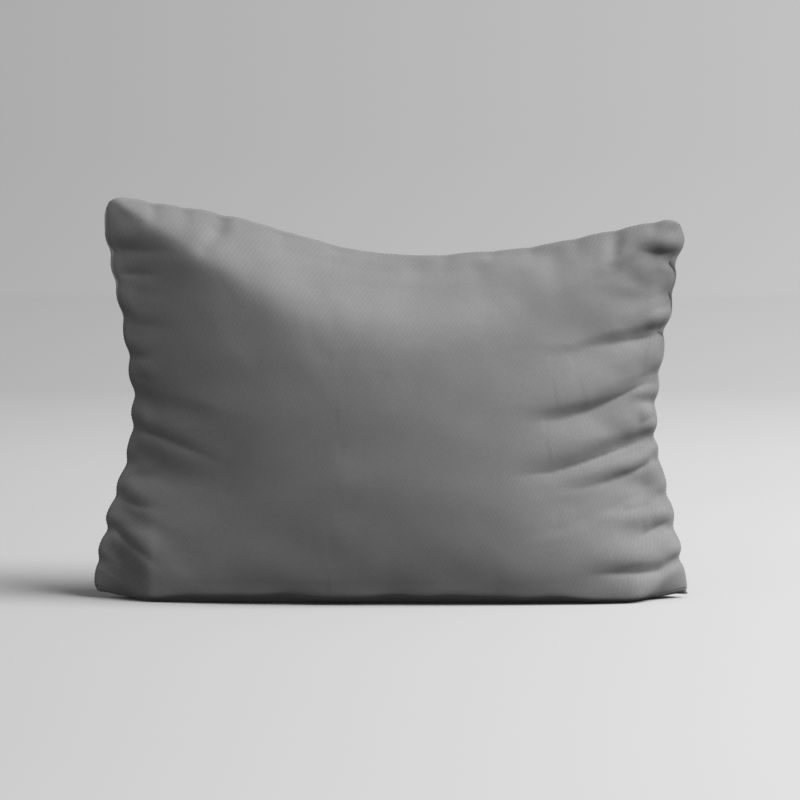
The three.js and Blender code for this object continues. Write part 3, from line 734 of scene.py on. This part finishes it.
def twill():
    n = Nodes("cover_twill_fabric")
    rib = n.wave(n.coords(True, turn=math.radians(32)), .0046, 1.6, 3, 120)  # diagonal ribs that rise to the right
    pick = n.wave(n.coords(True, turn=math.radians(90)), .0013, 1.2, 1, 220)
    yarn = n.noise(n.coords(True), 420, 5, .7)
    soft = n.noise(n.coords(True, scale=(1, 1.4, 1)), 190, 6, .72)
    blotch = n.noise(n.coords(True), 16, 3, .5)
    weave = n.mix(n.mix(rib, pick, .35), yarn, .66)
    tone = n.mix(n.mix(weave, soft, .5), blotch, .3)
    lo, mid_, hi = ALBEDO * .83, ALBEDO, ALBEDO * 1.19
    n.to(n.ramp(tone, [(.28, g(lo)), (.5, g(mid_)), (.72, g(hi))]), "Base Color")
    n.to(n.range(weave, .78, .92), "Roughness")
    n.bump(weave, .0005, .36)
    n.set(Sheen_Weight=.18, Sheen_Roughness=.5, Specular_IOR_Level=.22)
    n.bsdf.inputs["Sheen Tint"].default_value = (1, 1, 1, 1)
    return n.m


def cloth(name, tone, pitch, rough=.85, warm=(1, 1, 1), uv=True):
    n = Nodes(name)
    a = n.wave(n.coords(uv), pitch, 1.0, 1, 80)
    b = n.wave(n.coords(uv, turn=math.radians(90)), pitch, 1.0, 1, 80)
    w = n.mix(n.mix(a, b, .5), n.noise(n.coords(uv), 900, 2), .3)
    t = n.mix(w, n.noise(n.coords(uv), 22, 4), .4)
    n.to(n.ramp(t, [(.25, g(tone * .84, warm)), (.75, g(tone * 1.08, warm))]), "Base Color")
    n.to(n.range(w, rough - .08, rough + .06), "Roughness")
    n.bump(w, pitch * .25, .6)
    n.set(Sheen_Weight=.2, Sheen_Roughness=.5, Specular_IOR_Level=.3)
    return n.m


def fibre():
    n = Nodes("pad_fibre_wool")
    a = n.noise(n.coords(False, scale=(1, 1, 1)), 60, 8, .7)
    b = n.noise(n.coords(False, scale=(1, 1, 6)), 240, 4, .7)
    w = n.mix(a, b, .5)
    n.to(n.ramp(w, [(.3, (.78, .77, .74)), (.7, (.93, .93, .91))]), "Base Color")
    n.to(n.range(b, .88, 1.0), "Roughness")
    n.bump(w, .004, .8)
    n.set(Sheen_Weight=.4, Sheen_Roughness=.6)
    return n.m


def thread(name, tone):
    n = Nodes(name)
    a = n.wave(n.coords(False, turn=math.radians(40)), .0006, 1, 1, 100)
    b = n.noise(n.coords(False), 700, 3)
    w = n.mix(a, b, .4)
    n.to(n.ramp(w, [(.2, g(tone * .7)), (.8, g(tone * 1.25))]), "Base Color")
    n.to(n.range(b, .5, .75), "Roughness")
    n.bump(w, .0002, .6)
    n.set(Sheen_Weight=.15)
    return n.m


def tape():
    n = Nodes("zip_tape_weave")
    a = n.wave(n.coords(False, turn=math.radians(35)), .0012, .4, 1, 60, "TRI")
    b = n.wave(n.coords(False, turn=math.radians(-35)), .0012, .4, 1, 60, "TRI")
    w = n.mix(n.mix(a, b, .5), n.noise(n.coords(False), 900, 2), .25)
    n.to(n.ramp(w, [(.25, g(.085)), (.75, g(.15))]), "Base Color")
    n.to(n.range(w, .7, .9), "Roughness")
    n.bump(w, .0002, .7)
    n.set(Sheen_Weight=.1)
    return n.m


def nylon():
    n = Nodes("zip_coil_nylon")
    a = n.noise(n.coords(False), 400, 4)
    n.to(n.ramp(a, [(.3, g(.07)), (.7, g(.12))]), "Base Color")
    n.to(n.range(a, .3, .5), "Roughness")
    n.bump(a, .00008, .5)
    n.set(Specular_IOR_Level=.5)
    return n.m


def metal():
    n = Nodes("zip_satin_metal")
    a = n.noise(n.coords(False, scale=(1, 12, 12)), 260, 4)
    b = n.noise(n.coords(False), 1200, 3)
    w = n.mix(a, b, .35)
    n.to(n.ramp(w, [(.25, (.38, .38, .39)), (.75, (.56, .56, .57))]), "Base Color")
    n.to(n.range(w, .22, .44), "Roughness")
    n.bump(w, .00004, .5)
    n.set(Metallic=1.0)
    return n.m


M = {"twill": twill(), "ticking": cloth("pad_ticking_weave", .78, .0007, .82, (1, .985, .95)), "fibre": fibre(),
     "thread": thread("cover_thread_yarn", .13), "tape": tape(), "coil": nylon(), "metal": metal()}


def give(o, m):
    o.data.materials.clear()
    o.data.materials.append(m)


give(cover_front, M["twill"])
give(cover_back, M["twill"])
give(cover_strip, M["twill"])
give(pad_front, M["ticking"])
give(pad_back, M["ticking"])
give(fill, M["fibre"])
for o in (seam_stitches, over_l, over_r, over_t):
    give(o, M["thread"])
LOOK = {"cover_front_panel": "twill", "cover_under_strip": "twill", "cover_back_panel": "twill", "pad_ticking": "ticking", "pad_fibre": "fibre", "cover_overlock": "thread",
        "zip_stitch": "thread", "zip_tape": "tape", "zip_coil": "coil", "zip_": "metal"}
for name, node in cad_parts.items():
    for start_, look in LOOK.items():
        if name.startswith(start_):
            for s_ in node.material_slots:
                s_.material = M[look]
            break


# ------------------------------------------------------------------ stage, light and camera
def stage_sweep():
    """Floor that turns up into a plain wall. Its colour carries painted light: lighter to the right, paler near than
    far, and the floor-to-wall change of brightness painted in.
    """
    R, YC = .2, 3.39
    rows = [(y, 0.0, 0.0) for y in (-22, -9, -5, -3, -2, -1.5, -1, -.5, -.2, .2, .7, 1, 1.3, 1.6, 2, 2.4, 2.8, 3.1, 3.3)]
    rows += [(YC + R * math.sin(t), R * (1 - math.cos(t)), t) for t in np.linspace(0, math.pi / 2, 17)]
    rows += [(YC + R, z, math.pi / 2) for z in (.5, .8, 1.5, 4, 12)]
    xs = np.r_[-22, -8, np.linspace(-4, 4, 49), 8, 22]
    lin = lambda v: ((v / 255 + .055) / 1.055) ** 2.4
    verts, painted_tones, faces = [], [], []
    for y, z, t in rows:
        # painted light: each row's colour is the wanted brightness divided by how the key and the room light that
        # row
        lit = 1.416 * (.70 * math.cos(t) + .273 * math.sin(t)) + .27 - .05 * t / (math.pi / 2)
        near = [-1.217, -.183, .482, .841, 1.27, 1.778, 2.392, 3.155, 3.386]
        left, right = (float(np.interp(y, near, v)) for v in ((205, 204, 203, 201, 200, 198, 192, 186, 183), (226, 226, 225, 225, 222, 221, 215, 209, 206)))
        w = t / (math.pi / 2)
        left, right = lin(left + (177 - left) * w), lin(right + (198 - right) * w)
        half = .111 * max(y + 4, 3)
        for x in xs:
            verts.append((float(x), y, z))
            k = float(np.clip(.5 + x / (2 * half), -.4, 1.4))
            painted_tones.append((left + (right - left) * k) / lit)
    n = len(xs)
    for r in range(len(rows) - 1):
        for k in range(n - 1):
            faces.append([r * n + k, r * n + k + 1, (r + 1) * n + k + 1, (r + 1) * n + k])
    mesh = bpy.data.meshes.new("studio_sweep")
    mesh.from_pydata(verts, [], faces)
    # the paper's colour attribute holds painted light, a gradient of light and shade, not the paper's own tone
    tone = mesh.attributes.new("paper_painted_light", "FLOAT", "POINT")
    tone.data.foreach_set("value", np.array(painted_tones, np.float32))
    mesh.shade_smooth()
    o = bpy.data.objects.new("studio_sweep", mesh)
    scene.collection.objects.link(o)
    n = Nodes("studio_paper")
    a = n.t.nodes.new("ShaderNodeAttribute")
    a.attribute_name = "paper_painted_light"
    n.t.links.new(a.outputs["Fac"], n.bsdf.inputs["Base Color"])
    n.set(Roughness=.9, Specular_IOR_Level=.0)
    o.visible_diffuse = False  # the paper lights nothing
    give(o, n.m)
    return o


stage_sweep()


def area(name, at, target, size, watts, spread=180):
    l = bpy.data.lights.new(name, "AREA")
    l.shape, l.size, l.size_y, l.energy = "RECTANGLE", size[0], size[1], watts
    l.spread = math.radians(spread)
    o = bpy.data.objects.new(name, l)
    o.location = at
    o.rotation_euler = (Vector(target) - Vector(at)).to_track_quat("-Z", "Y").to_euler()
    scene.collection.objects.link(o)
    return o


def sun(name, azimuth, elevation, strength, angle):
    l = bpy.data.lights.new(name, "SUN")
    l.energy, l.angle = strength, math.radians(angle)
    o = bpy.data.objects.new(name, l)
    az, el = math.radians(azimuth), math.radians(elevation)
    d = Vector((math.cos(el) * math.sin(az), -math.cos(el) * math.cos(az), math.sin(el)))
    o.rotation_euler = d.to_track_quat("Z", "Y").to_euler()
    scene.collection.objects.link(o)
    return o


sun("key", 67.5, 44.4, 4.45, 40)
# the room: dim overhead, darker towards the floor
world = bpy.data.worlds.new("studio")
scene.world = world
world.use_nodes = True
wt = world.node_tree
tc = wt.nodes.new("ShaderNodeTexCoord")
sep = wt.nodes.new("ShaderNodeSeparateXYZ")
wt.links.new(tc.outputs["Generated"], sep.inputs[0])
up = wt.nodes.new("ShaderNodeMapRange")
up.inputs["From Min"].default_value, up.inputs["From Max"].default_value = -.55, .1
up.inputs["To Min"].default_value, up.inputs["To Max"].default_value = .03, .27
wt.links.new(sep.outputs["Z"], up.inputs["Value"])
pale = wt.nodes.new("ShaderNodeLightPath")
pick_ = wt.nodes.new("ShaderNodeMix")
wt.links.new(pale.outputs["Is Camera Ray"], pick_.inputs[0])
wt.links.new(up.outputs[0], pick_.inputs[2])
pick_.inputs[3].default_value = .5
wt.links.new(pick_.outputs[0], wt.nodes["Background"].inputs["Strength"])
wt.nodes["Background"].inputs["Color"].default_value = (1, 1, 1, 1)

cam = bpy.data.cameras.new("cam")
cam.clip_end = 200
cam.lens, cam.sensor_width = 162, 36
camera = bpy.data.objects.new("cam", cam)
ELEV, DIST = math.radians(4.0), 4.0
target = Vector((.0106, 0, .221))
camera.location = target + DIST * Vector((0, -math.cos(ELEV), math.sin(ELEV)))
camera.rotation_euler = (target - camera.location).to_track_quat("-Z", "Y").to_euler()
scene.collection.objects.link(camera)
scene.camera = camera
scene.view_settings.view_transform = "Standard"
scene.view_settings.look = "None"
